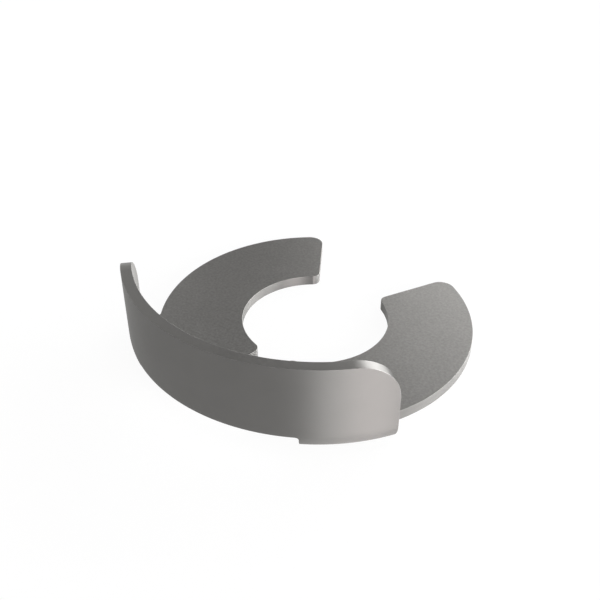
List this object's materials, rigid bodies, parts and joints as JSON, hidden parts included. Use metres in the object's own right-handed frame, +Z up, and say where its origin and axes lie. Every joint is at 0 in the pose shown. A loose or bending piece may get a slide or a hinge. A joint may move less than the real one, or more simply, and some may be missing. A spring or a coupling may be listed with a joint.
{
  "type": "external retaining ring",
  "caption": "Stamped and folded spring steel retaining ring: flat crescent jaws with a round hole and open mouth, joined behind by an upright curved spring band.",
  "frame": {"origin": "on the hole's axis, in the plane of the jaws' underside, on which the ring lies", "axes": "+Z up along the hole's axis, on the side where the band stands; the mouth opens towards +Y"},
  "size_m": [0.03, 0.03, 0.0089],
  "materials": {
    "spring_steel": "satin, fine matt grain on the flat faces"
  },
  "bodies": {
    "root": {"retaining_ring": "spring_steel"}
  },
  "joints": []
}
